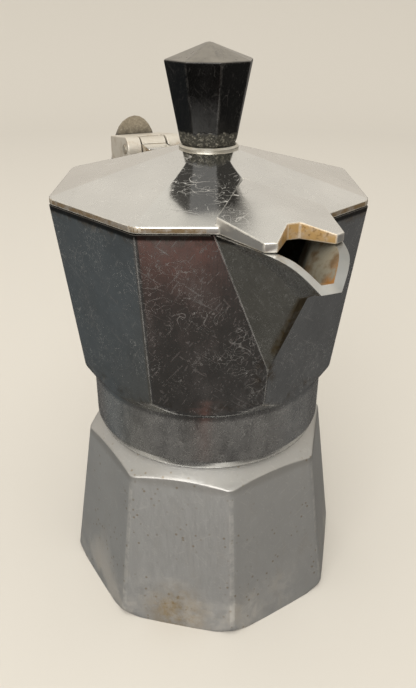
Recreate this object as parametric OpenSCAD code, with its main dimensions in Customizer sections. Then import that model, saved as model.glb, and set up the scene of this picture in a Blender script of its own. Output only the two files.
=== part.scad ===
// Stovetop coffee maker with an octagonal aluminium body (moka pot), one-cup size.
// Origin: centre of the boiler's underside. +Z up, +X towards the spout, -X towards the handle.
// All sizes are in millimetres.

/* [Boiler] */
// Corner radius of the boiler's octagon, extended down to the table
boiler_r_base = 37.5; // [34:0.1:40]
// Corner radius of the boiler's octagon at the shoulder
boiler_r_top = 31.4; // [31:0.1:33]
// Height of the shoulder's corners
shoulder_z = 40.5; // [39:0.1:41.5]
// Turn of the boiler's octagon against the upper chamber's, in degrees
boiler_turn = -12.5; // [-22:0.5:22]
// Radius of the flat underside, where the corners are trimmed away
boiler_foot_r = 36.3; // [35:0.1:37]
// Height of the trimmed corners above the table
boiler_foot_z = 2; // [1:0.1:4]
// Height of the top of the threaded neck
neck_top_z = 51.5; // [50:0.1:52]

/* [Thread] */
// Radius of the neck under its thread
neck_r = 24.7; // [24:0.1:25]
// Height of the thread's ridge above the neck
thread_depth = 0.9; // [0.6:0.1:1]
// Pitch of the thread
pitch = 3; // [2.5:0.5:3]
// Gap between each ridge's crest and the wall that it faces
thread_gap = 0.3; // [0.25:0.05:0.35]

/* [Upper chamber] */
// Corner radius of the chamber's rim
rim_r = 36.1; // [35.6:0.1:36.4]
// Height of the chamber's rim
rim_z = 102.3; // [100:0.1:104]
// Corner radius at the bottom of the facets
chamber_r_low = 31.5; // [31:0.1:32]
// Height of the bottom of the facets' corners
chamber_low_z = 63.1; // [62:0.1:64]
// Radius of the round skirt
skirt_r = 28.6; // [28.3:0.1:29]
// Height of the skirt's lower edge
skirt_low_z = 44.8; // [44.6:0.1:45.4]
// Wall thickness of the upper chamber
chamber_wall = 2; // [1.6:0.1:2.4]

/* [Lid and knob] */
// Corner radius of the lid
lid_r = 36.1; // [35.6:0.1:36.4]
// Height of the lid's vertical edge
lid_edge_h = 1.45; // [1.2:0.05:1.8]
// Rise of the lid's pyramid, measured to its point
lid_rise = 9.64; // [8:0.1:11]
// Opening angle of the lid, for looking inside, in degrees
lid_open = 0; // [0:1:105]
// Corner radius of the knob at its foot
knob_r_low = 6.5; // [6:0.1:7]
// Corner radius of the knob at its widest
knob_r_top = 9.75; // [9:0.1:10.5]
// Height of the widest part of the knob
knob_wide_z = 129.5; // [128:0.5:131]
// Overall height, at the knob's point
total_h = 133; // [131.5:0.5:134.5]

/* [Handle and hinge] */
// Distance of the hinge pin behind the pot's axis
hinge_x = 41; // [40.5:0.1:41.5]
// Height of the hinge pin
hinge_z = 104; // [103.9:0.1:104.3]
// Half width of the hinge bracket
bracket_w = 7.6; // [7:0.1:8]
// Distance of the bracket's rear face behind the pot's axis
bracket_x = 56; // [55:0.5:57]
// Half width of the handle
handle_w = 6; // [5.5:0.1:6.4]

/* [Basket and seal] */
// Outer radius of the coffee basket's cup
basket_r = 20.6; // [20:0.1:21]
// Height of the basket's perforated floor
screen_z = 31.5; // [28:0.5:34]
// Thickness of the rubber gasket
gasket_h = 3; // [2.6:0.1:3.2]

/* [Hidden] */
$fn = 96;
eps = 0.01;
fit_gap = 0.05;              // radial clearance of running and plug fits
oct = cos(22.5);             // octagon's flat-to-centre distance over its corner radius

// ---- boiler ----
neck_bore_r = 22;
inner_r_low = 31;            // boiler cavity near its floor
inner_r_high = 27;
floor_t = 2.6;
shoulder_rise = 0.464;       // height gained per millimetre towards the axis
cone_end_r = 29.4;
cone_end_z = shoulder_z + shoulder_rise * (boiler_r_top - cone_end_r);
boiler_slope = (boiler_r_base - boiler_r_top) / shoulder_z;

// ---- thread: 36 chords a turn, trapezium ridge ----
turn_steps = 36;
ridge_base = 1.5;
ridge_crest = 0.8;
ridge_root = 0.3;            // how far a ridge is rooted in its wall
male_z = 45.2;               // middle of the ridge at angle 0
male_turn = 600;
female_from = -120;
female_turn = 720;
skirt_bore_r = neck_r + thread_depth + thread_gap;

// ---- upper chamber ----
chamber_slope = (rim_r - chamber_r_low) / (rim_z - chamber_low_z);
band_r = 29.25;              // round band that the facets run out on
chamfer_rise = 1.35;         // slope of the cone under the octagon's corners
chamfer_z = chamber_low_z - chamfer_rise * (chamber_r_low - skirt_r);
floor_z = 60.5;
ceiling_z = 56;
seal_r = 25.1;
column_r = 3.2;

// ---- spout: a V-shaped beak on the corner that faces +X; each point is [x, half width, z] ----
beak_root = [chamber_r_low + 1, 0, 71.8];
beak_side = [31.4, 11.8, rim_z];
beak_crease = [[36.5, 7.6, 99.8], [40.6, 3.8, 96.9]];      // upper edge of the flat flank
beak_knee = [44, 0.85, 93.1];
beak_hollow = [[39.6, 7.9, 101.3], [44.4, 4.6, 99.7], [48.2, 1.4, 95.7]];   // bottom of the flare's curve
beak_edge = [37.2, 9.9, rim_z];
beak_rim = [43, 8, rim_z];
beak_nose = [[48.5, 6, 101.7], [50.5, 4.3, 100.1], [52.8, 2, 97.4]];
throat_root = [30, 0, 73.8];
throat_side = [29.4, 9.9, rim_z];
throat_crease = [[35.6, 6.1, 100.3], [39.7, 2.3, 97.4]];
throat_knee = [42.3, 0.4, 95.4];
throat_rim = [42, 6.1, rim_z + 0.4];
throat_nose = [[46.6, 4.4, 102.2], [48.8, 2.9, 100.9], [51.2, 1, 98.7]];
throat_top = rim_z + 6;

// ---- lid ----
lid_low_z = rim_z + 0.1;
lid_top_z = lid_low_z + lid_edge_h;
seat_z = 111.5;              // flat pad under the knob
pad_low_z = 109.6;
hollow_r = lid_r - 2.2;      // inside corner radius of the lid's edge
hood_apex = [17.8, 0];
hood_side = [30.6, 11.3];
hood_foot = [43.1, 8];
hood_notch = [44.1, 5.8];
hood_peak = [39, 1.25];
hood_side_z = 105.5;
hood_peak_z = 105.6;
hood_apex_z = lid_top_z + lid_rise * (1 - hood_apex[0] / lid_r);

// ---- hinge ----
pin_r = 1.25;
ear_r = 3.3;
barrel_r = 3;
tongue_w = 3.4;
slot_w = 3.75;
tang_w = 2.5;
tang_x = 65;
tang_z = [95.5, 101.5];
rivet_x = 61;
rivet_z = 98.5;

// ---- handle: matching points down its outer and inner sides, as [distance behind the axis, height] ----
handle_outer = [[56.1, 110.4], [59, 109.6], [62, 107.2], [64.6, 103.6], [67.2, 99], [70, 93.6], [73.2, 86.5],
                [76, 78.5], [78, 70], [79, 61], [78.8, 54], [77.6, 50.2], [75.6, 48.3]];
handle_inner = [[56.1, 92.5], [58, 92.2], [59.6, 91.2], [61, 89.4], [62.6, 86.6], [64.2, 83], [66, 78],
                [67.6, 72], [68.8, 65.5], [69.4, 58.5], [69.6, 53.5], [70.4, 50.2], [72.6, 48.3]];
handle_sides = 24;

// ---- safety valve, on a facet at the rear; distances are measured outwards from the facet ----
valve_turn = boiler_turn + 22.5 + 135;
valve_z = 27;
valve_tilt = atan(boiler_slope * oct);
valve_out = (boiler_r_base - boiler_slope * valve_z) * oct;
shank_r = 4;
valve_bore_r = 2.9;
stem_r = 0.95;
valve_inner = -5;
washer_t = 0.9;
hex_end = 5.5;
boss_end = 6.5;
stem_end = 8;
poppet_r = 2.6;
spring_r = 2.2;
wire_r = 0.32;
spring_turns = 5;
spring_from = -2.9;
spring_to = 3.5;

// ---- knob fastening ----
insert_r = 3;
insert_top_z = 121.5;
screw_r = 1.6;

// ---------- shared shapes ----------

// Octagonal frustum with its corners at multiples of 45 degrees
module octagon(z1, r1, z2, r2) {
    translate([0, 0, z1]) cylinder(h = z2 - z1, r1 = r1, r2 = r2, $fn = 8);
}

// Ring-shaped solid between two radii
module ring(z1, z2, r_in, r_out) {
    rotate_extrude() translate([r_in, z1]) square([r_out - r_in, z2 - z1]);
}

// Closed tube through rings of points that all have the same count
function tube_faces(rings, sides) = concat(
    [[for (k = [0 : sides - 1]) k]],
    [for (i = [0 : rings - 2], k = [0 : sides - 1])
        [i * sides + k, (i + 1) * sides + k, (i + 1) * sides + (k + 1) % sides]],
    [for (i = [0 : rings - 2], k = [0 : sides - 1])
        [i * sides + k, (i + 1) * sides + (k + 1) % sides, i * sides + (k + 1) % sides]],
    [[for (k = [0 : sides - 1]) rings * sides - 1 - k]]);

// Helical ridge. It stands from r_root to r_crest, and starts at angle a0 and height z0
module ridge(r_root, r_crest, a0, sweep, z0) {
    outward = r_crest > r_root ? 1 : -1;
    steps = round(sweep * turn_steps / 360);
    section = [[r_root, -ridge_base / 2], [r_crest, -ridge_crest / 2],
               [r_crest, ridge_crest / 2], [r_root, ridge_base / 2]];
    order = outward > 0 ? [3, 2, 1, 0] : [0, 1, 2, 3];
    points = [for (i = [0 : steps], k = order)
        let (a = a0 + sweep * i / steps, p = section[k])
        [p[0] * cos(a), p[0] * sin(a), z0 + pitch * (a - a0) / 360 + p[1]]];
    polyhedron(points, tube_faces(steps + 1, 4));
}

// Hull of points that are given once and mirrored across the XZ plane
module beak(points) {
    both = concat(points, [for (p = points) [p[0], -p[1], p[2]]]);
    hull() polyhedron(both, [[for (i = [0 : len(both) - 1]) i]]);
}

// Places a part on the valve's axis, with local +Z pointing out of the boiler
module on_valve_axis() {
    rotate([0, 0, valve_turn]) translate([valve_out, 0, valve_z]) rotate([0, 90 - valve_tilt, 0]) children();
}

// Hexagonal grid of round holes inside a circle
module hole_grid(z, h, hole_r, step, limit) {
    rows = ceil(limit / step) + 1;
    for (i = [-rows : rows], j = [-rows : rows]) {
        x = step * (i + j / 2);
        y = step * j * sin(60);
        if (norm([x, y]) < limit) translate([x, y, z]) cylinder(h = h, r = hole_r, $fn = 24);
    }
}

// ---------- boiler and safety valve ----------

module boiler() color([0.66, 0.65, 0.62]) {
    difference() {
        union() {
            intersection() {
                rotate([0, 0, boiler_turn])
                    octagon(0, boiler_r_base, 48, boiler_r_base - boiler_slope * 48);
                rotate_extrude() polygon([[0, 0], [boiler_foot_r - 0.8, 0], [boiler_foot_r, 0.5],
                    [boiler_foot_r + 2.2, boiler_foot_z], [boiler_foot_r + 4, boiler_foot_z + 3],
                    [boiler_r_base, shoulder_z - shoulder_rise * (boiler_r_base - boiler_r_top)],
                    [cone_end_r, cone_end_z], [27.6, cone_end_z + 1.1], [26, cone_end_z + 2.4],
                    [neck_r, cone_end_z + 4.2], [0, cone_end_z + 4.2]]);
            }
            translate([0, 0, 40]) cylinder(h = neck_top_z - 40, r = neck_r);
            ridge(neck_r - ridge_root, neck_r + thread_depth, 0, male_turn, male_z);
        }
        rotate_extrude() polygon([[0, floor_t], [inner_r_low - 2, floor_t], [inner_r_low, floor_t + 2],
            [inner_r_high, 36], [neck_bore_r, 41.5], [neck_bore_r, neck_top_z + 1], [0, neck_top_z + 1]]);
        on_valve_axis() translate([0, 0, -8]) cylinder(h = 9, r = shank_r + 0.02);
    }
}

module valve_body() color([0.72, 0.58, 0.3]) on_valve_axis() {
    difference() {
        union() {
            translate([0, 0, valve_inner]) cylinder(h = washer_t + 0.1 - valve_inner, r = shank_r);
            translate([0, 0, washer_t + 0.02]) cylinder(h = hex_end - washer_t, r = 5.7, $fn = 6);
            translate([0, 0, hex_end - 0.1]) cylinder(h = boss_end - hex_end + 0.1, r = 3.9);
        }
        translate([0, 0, valve_inner - 1]) cylinder(h = hex_end - 0.5 - valve_inner + 1, r = valve_bore_r);
        cylinder(h = boss_end + 1, r = stem_r + fit_gap);
        for (side = [-1, 1]) translate([side * 2.2, 0, 0]) cylinder(h = boss_end + 1, r = 0.45);
    }
}

module valve_washer() color([0.55, 0.2, 0.12]) on_valve_axis() {
    ring(0.02, washer_t, shank_r + 0.1, 6.2);
}

module valve_stem() color([0.74, 0.74, 0.74]) on_valve_axis() {
    rotate_extrude() polygon([[0, -4.35], [poppet_r, -4.35], [poppet_r, -3.7], [stem_r + 0.4, -3.1],
        [stem_r, -3.0], [stem_r, stem_end - 0.3], [stem_r - 0.3, stem_end], [0, stem_end]]);
}

module valve_spring() color([0.6, 0.6, 0.62]) on_valve_axis() {
    steps = spring_turns * 14;
    points = [for (i = [0 : steps], k = [0 : 5])
        let (a = 360 * spring_turns * i / steps, b = -60 * k,
             r = spring_r + wire_r * cos(b),
             z = spring_from + (spring_to - spring_from) * i / steps + wire_r * sin(b))
        [r * cos(a), r * sin(a), z]];
    polyhedron(points, tube_faces(steps + 1, 6));
}

module valve_seat() color([0.5, 0.5, 0.52]) on_valve_axis() {
    ring(valve_inner + 0.05, valve_inner + 0.6, 1.9, valve_bore_r - 0.02);
}

// ---------- coffee basket ----------

module funnel() color([0.78, 0.78, 0.76]) {
    wall = 0.6;
    cone_z = screen_z - 4.5;
    tube_r = 3.6;
    tube_low_z = 5.2;
    step_r = basket_r - wall - 0.9;
    rotate_extrude() polygon([[tube_r - wall, tube_low_z], [tube_r, tube_low_z], [tube_r, cone_z - wall],
        [step_r, screen_z - 0.75], [basket_r, screen_z - 0.75], [basket_r, neck_top_z + 0.02],
        [neck_r - 0.5, neck_top_z + 0.02], [neck_r - 0.5, neck_top_z + 0.02 + wall],
        [basket_r - wall, neck_top_z + 0.02 + wall], [basket_r - wall, screen_z - 0.02],
        [step_r - 0.4, screen_z - 0.02], [tube_r - wall, cone_z]]);
}

module funnel_screen() color([0.7, 0.7, 0.68]) {
    difference() {
        translate([0, 0, screen_z]) cylinder(h = 0.6, r = basket_r - 0.65);
        hole_grid(screen_z - 1, 3, 0.7, 3.6, basket_r - 3.4);
    }
}

// ---------- seal, which rises with the upper chamber ----------

module gasket() color([0.85, 0.83, 0.78]) {
    ring(neck_top_z + 0.7, neck_top_z + 0.7 + gasket_h, basket_r - 0.4, neck_r + 0.15);
}

module filter_plate() color([0.75, 0.75, 0.73]) {
    low = neck_top_z + 0.7 + gasket_h + 0.02;
    difference() {
        translate([0, 0, low]) cylinder(h = 0.7, r = neck_r + 0.1);
        hole_grid(low - 1, 3, 0.7, 3.6, basket_r - 3);
    }
}

// ---------- upper chamber ----------

module chamber_outside() {
    intersection() {
        octagon(58, chamber_r_low - chamber_slope * (chamber_low_z - 58), rim_z, rim_r);
        rotate_extrude() polygon([[0, 57], [skirt_r - 1, 57], [skirt_r, chamfer_z],
            [skirt_r + 10, chamfer_z + 10 * chamfer_rise], [skirt_r + 10, rim_z + 1], [0, rim_z + 1]]);
    }
    rotate_extrude() polygon([[0, skirt_low_z], [skirt_r - 0.7, skirt_low_z], [skirt_r, skirt_low_z + 2.2],
        [skirt_r, chamfer_z], [band_r, chamfer_z + chamfer_rise * (band_r - skirt_r)], [band_r, 64],
        [band_r - 0.15, 68], [0, 68]]);
}

module chamber_hollow() {
    intersection() {
        octagon(58, chamber_r_low - chamber_slope * (chamber_low_z - 58) - chamber_wall / oct,
                rim_z + 1, rim_r + chamber_slope - chamber_wall / oct);
        rotate_extrude() polygon([[0, floor_z], [25.6, floor_z], [27.2, floor_z + 1.2], [29.8, floor_z + 4.6],
            [40, rim_z + 2], [0, rim_z + 2]]);
    }
}

module hinge_bracket() {
    rotate([90, 0, 0]) translate([0, 0, -bracket_w]) linear_extrude(2 * bracket_w) union() {
        polygon([[-32, 84], [-33.5, 92], [-37.7, 99], [-37.7, hinge_z], [-hinge_x, hinge_z + ear_r],
            [-bracket_x, 105.2], [-bracket_x, 93.6], [-45, 91]]);
        translate([-hinge_x, hinge_z]) circle(r = ear_r);
    }
    translate([-tang_x, -tang_w, tang_z[0]])
        cube([tang_x - bracket_x + 1, 2 * tang_w, tang_z[1] - tang_z[0]]);
}

module upper_chamber() color([0.55, 0.55, 0.53]) {
    difference() {
        union() {
            chamber_outside();
            beak(concat([beak_root, beak_side, beak_knee, [28, 10.5, rim_z], [27, 0, 76]], beak_crease));
            beak(concat([beak_knee, beak_side, beak_edge, [28, 10.5, rim_z], [30, 0, 90]],
                        beak_crease, beak_hollow));
            beak(concat([beak_edge, beak_rim, [36, 4, rim_z]], beak_hollow, beak_nose));
            difference() {
                hinge_bracket();
                translate([0, 0, 70]) cylinder(h = 40, r = 30.5);
            }
        }
        chamber_hollow();
        beak(concat([throat_root, throat_side, throat_knee, [24, 7, rim_z + 2], [24, 0, 78]], throat_crease));
        beak(concat([throat_knee, throat_side, throat_rim, [24, 7, throat_top], [26, 0, 90],
                     [46.6, 4.4, throat_top],
            [53.2, 1, throat_top]], throat_crease, throat_nose));
        // skirt bore, seal recess and the rising passage under the floor
        rotate_extrude() polygon([[0, skirt_low_z - 1], [skirt_bore_r, skirt_low_z - 1], [skirt_bore_r, 52.6],
            [seal_r, 53], [seal_r, ceiling_z], [19, ceiling_z], [5, 58.6], [0, 58.6]]);
        translate([0, 0, 57]) cylinder(h = 8, r = column_r + 0.02);
        // hinge slot and pin holes
        translate([-45, -slot_w, hinge_z - 3.6]) cube([10.4, 2 * slot_w, 12]);
        translate([-hinge_x, bracket_w + 1, hinge_z]) rotate([90, 0, 0])
            cylinder(h = 2 * bracket_w + 2, r = pin_r + 0.02);
        translate([-rivet_x, 10, rivet_z]) rotate([90, 0, 0]) cylinder(h = 20, r = pin_r + 0.02);
    }
    difference() {
        translate([0, 0, floor_z - 0.5]) cylinder(h = 3, r1 = 8.5, r2 = 6.6);
        translate([0, 0, 57]) cylinder(h = 8, r = column_r + 0.02);
    }
    ridge(skirt_bore_r + ridge_root, neck_r + thread_gap, female_from, female_turn,
          male_z + pitch / 2 + pitch * female_from / 360);
}

module coffee_column() color([0.7, 0.7, 0.68]) {
    base_z = floor_z + 2.52;
    top_z = 95;
    bore_r = 2.1;
    difference() {
        rotate_extrude() polygon([[0, 58.7], [column_r, 58.7], [column_r, base_z], [6.2, base_z],
            [6, base_z + 1], [3.9, top_z - 2.4], [3.2, top_z - 0.8], [1.8, top_z], [0, top_z]]);
        translate([0, 0, 58]) cylinder(h = top_z - 62.5, r = bore_r);
        for (side = [0, 180]) rotate([0, 0, side]) translate([0, 0, top_z - 6]) rotate([-90, 0, 0])
            cylinder(h = 8, r = 1.4);
    }
}

module hinge_pin() color([0.62, 0.62, 0.64]) {
    translate([-hinge_x, bracket_w + 0.3, hinge_z]) rotate([90, 0, 0])
        cylinder(h = 2 * bracket_w + 0.6, r = pin_r);
}

// ---------- handle ----------

module handle() color([0.13, 0.12, 0.12]) {
    rings = len(handle_outer);
    points = [for (i = [0 : rings - 1], k = [0 : handle_sides - 1])
        let (o = handle_outer[i], n = handle_inner[i], a = 360 * k / handle_sides,
             c = (o + n) / 2, d = (o - n) / 2,
             w = i < rings - 2 ? handle_w - 0.07 * i : handle_w - 1.1 - (i - rings + 2))
        [-(c[0] + d[0] * cos(a)), w * sin(a), c[1] + d[1] * cos(a)]];
    difference() {
        polyhedron(points, tube_faces(rings, handle_sides));
        translate([-tang_x - 0.3, -tang_w - 0.05, tang_z[0] - 0.05])
            cube([tang_x - bracket_x + 1, 2 * tang_w + 0.1, tang_z[1] - tang_z[0] + 0.1]);
        translate([-rivet_x, 10, rivet_z]) rotate([90, 0, 0]) cylinder(h = 20, r = pin_r + 0.02);
    }
}

module handle_pin() color([0.62, 0.62, 0.64]) {
    half = handle_w - 0.5;
    translate([-rivet_x, half, rivet_z]) rotate([90, 0, 0]) cylinder(h = 2 * half, r = pin_r);
}

// ---------- lid ----------

// Height of each half of the hood's roof, which is one plane through its apex, side and peak
function roof_z(p) =
    let (s = hood_side - hood_apex, k = hood_peak - hood_apex,
         s_fall = hood_side_z - hood_apex_z, k_fall = hood_peak_z - hood_apex_z,
         det = s[0] * k[1] - k[0] * s[1])
    hood_apex_z + (s_fall * k[1] - k_fall * s[1]) / det * (p[0] - hood_apex[0])
        + (s[0] * k_fall - k[0] * s_fall) / det * p[1];

// Sheet over the spout: it rises from the lid's front ridge, and its front edge has a shallow notch
module hood() {
    left = [hood_side, hood_foot, hood_notch, hood_peak];
    plan = concat([hood_apex], [for (p = left) [p[0], -p[1]]], [for (i = [3 : -1 : 0]) left[i]]);
    top_half = [for (p = left) roof_z(p)];
    low_half = [for (p = left) lid_low_z];
    top_z = concat([hood_apex_z], top_half, [for (i = [3 : -1 : 0]) top_half[i]]);
    low_z = concat([hood_apex_z - 1.8], low_half, [for (i = [3 : -1 : 0]) low_half[i]]);
    count = len(plan);
    points = concat([for (i = [0 : count - 1]) [plan[i][0], plan[i][1], top_z[i]]],
                    [for (i = [0 : count - 1]) [plan[i][0], plan[i][1], low_z[i]]]);
    sheet = [[0, 1, 4], [1, 2, 3], [1, 3, 4], [0, 4, 5], [0, 5, 8], [8, 5, 6], [8, 6, 7]];
    faces = concat([for (t = sheet) [t[2], t[1], t[0]]],
                   [for (t = sheet) [t[0] + count, t[1] + count, t[2] + count]],
                   [for (i = [0 : count - 1]) [i, (i + 1) % count, count + (i + 1) % count]],
                   [for (i = [0 : count - 1]) [i, count + (i + 1) % count, count + i]]);
    polyhedron(points, faces);
}

module lid_closed() {
    difference() {
        union() {
            difference() {
                union() {
                    translate([0, 0, lid_low_z]) cylinder(h = lid_edge_h, r = lid_r, $fn = 8);
                    octagon(lid_top_z, lid_r, lid_top_z + lid_rise, 0);
                }
                octagon(lid_low_z - eps, hollow_r, lid_low_z + lid_rise * hollow_r / lid_r, 0);
                // space under the hood
                translate([0, 0, lid_low_z - 1]) linear_extrude(9)
                    polygon([[21, 0], [31, -9.4], [46, -9.4], [46, 9.4], [31, 9.4]]);
            }
            hood();
            intersection() {
                octagon(lid_low_z, lid_r, lid_low_z + lid_rise, 0);
                translate([0, 0, pad_low_z]) cylinder(h = 3, r = 9);
            }
            translate([-hinge_x, tongue_w, hinge_z]) rotate([90, 0, 0])
                cylinder(h = 2 * tongue_w, r = barrel_r);
            translate([-hinge_x, -tongue_w, lid_low_z]) cube([8.5, 2 * tongue_w, 3]);
        }
        translate([0, 0, seat_z]) cylinder(h = 5, r = 12);
        translate([0, 0, 100]) cylinder(h = 15, r = screw_r + 0.2);
        translate([-hinge_x, 8, hinge_z]) rotate([90, 0, 0]) cylinder(h = 16, r = pin_r + fit_gap);
    }
}

// Turns what belongs to the lid about the hinge pin
module with_lid() {
    translate([-hinge_x, 0, hinge_z]) rotate([0, -lid_open, 0]) translate([hinge_x, 0, -hinge_z]) children();
}

module lid() color([0.72, 0.71, 0.68]) with_lid() lid_closed();

module knob() color([0.08, 0.08, 0.09]) with_lid() rotate([0, 0, -7.5]) {
    foot_z = seat_z + 0.92;
    difference() {
        union() {
            octagon(foot_z, knob_r_low - 0.4, foot_z + 0.7, knob_r_low);
            octagon(foot_z + 0.7, knob_r_low, knob_wide_z, knob_r_top);
            octagon(knob_wide_z, knob_r_top, total_h, 0);
        }
        translate([0, 0, foot_z - 1]) cylinder(h = insert_top_z - foot_z + 1.05, r = insert_r + 0.02);
    }
}

module knob_insert() color([0.75, 0.6, 0.3]) with_lid() {
    ring(seat_z + 0.95, insert_top_z, screw_r + 0.02, insert_r);
}

module knob_screw() color([0.65, 0.65, 0.66]) with_lid() {
    difference() {
        union() {
            translate([0, 0, pad_low_z - 2.02]) cylinder(h = 2, r = 3.4);
            translate([0, 0, pad_low_z - 0.5]) cylinder(h = 10, r = screw_r);
        }
        translate([-4, -0.5, pad_low_z - 3]) cube([8, 1, 1.9]);
    }
}

module knob_washer() color([0.8, 0.8, 0.78]) with_lid() {
    rotate_extrude() polygon([[screw_r + 0.2, seat_z + 0.02], [6.6, seat_z + 0.02], [6.6, seat_z + 0.5],
        [6.2, seat_z + 0.9], [screw_r + 0.2, seat_z + 0.9]]);
}

boiler();
valve_body();
valve_washer();
valve_stem();
valve_spring();
valve_seat();
funnel();
funnel_screen();
gasket();
filter_plate();
upper_chamber();
coffee_column();
hinge_pin();
handle();
handle_pin();
lid();
knob();
knob_insert();
knob_screw();
knob_washer();
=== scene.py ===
import math

import bmesh
import bpy
from mathutils import Matrix, Vector


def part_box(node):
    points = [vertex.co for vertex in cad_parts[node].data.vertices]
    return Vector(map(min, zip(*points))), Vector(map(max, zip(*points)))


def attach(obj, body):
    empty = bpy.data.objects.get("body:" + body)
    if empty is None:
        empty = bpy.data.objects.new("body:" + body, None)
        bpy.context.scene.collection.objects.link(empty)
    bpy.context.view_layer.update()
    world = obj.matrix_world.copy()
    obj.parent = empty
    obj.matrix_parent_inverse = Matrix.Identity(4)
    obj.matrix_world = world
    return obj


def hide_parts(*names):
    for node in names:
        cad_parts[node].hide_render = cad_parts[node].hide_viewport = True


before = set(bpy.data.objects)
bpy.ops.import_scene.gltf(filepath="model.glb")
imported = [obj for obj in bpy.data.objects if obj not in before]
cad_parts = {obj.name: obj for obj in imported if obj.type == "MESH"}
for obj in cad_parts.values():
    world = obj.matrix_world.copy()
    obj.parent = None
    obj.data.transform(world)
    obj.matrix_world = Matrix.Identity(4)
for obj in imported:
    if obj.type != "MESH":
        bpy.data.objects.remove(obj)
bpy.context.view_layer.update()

# ---------- camera: the photograph's viewing angle ----------
CAMERA_AT = Vector((0.135572, -0.056963, 0.140199))
CAMERA_AZIMUTH = math.radians(67.21)
CAMERA_ELEVATION = math.radians(27.084)
CAMERA_ROLL = math.radians(0.33)
CAMERA_LENS = 34.124
CAMERA_SENSOR = 36
CAMERA_SHIFT = (0.0006, -0.01351)

# ---------- heights and places that the finishes use, from the frame itself ----------
LOW, HIGH = 0, 1
chamber_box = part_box("upper_chamber")
lid_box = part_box("lid")
knob_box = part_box("knob")
handle_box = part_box("handle")
RIM_Z = chamber_box[HIGH][2] - 0.0053
SKIRT_Z = chamber_box[LOW][2]
INSIDE_FLOOR_Z = 0.0645


def make_camera():
    data = bpy.data.cameras.new("camera")
    data.lens = CAMERA_LENS
    data.sensor_width = CAMERA_SENSOR
    data.sensor_fit = "AUTO"
    data.shift_x, data.shift_y = CAMERA_SHIFT
    data.clip_start = 0.005
    camera = bpy.data.objects.new("camera", data)
    bpy.context.scene.collection.objects.link(camera)
    turn = Matrix.Rotation(CAMERA_AZIMUTH, 4, "Z") @ Matrix.Rotation(math.pi / 2 - CAMERA_ELEVATION, 4, "X")
    camera.matrix_world = Matrix.Translation(CAMERA_AT) @ turn @ Matrix.Rotation(CAMERA_ROLL, 4, "Z")
    bpy.context.scene.camera = camera


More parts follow.
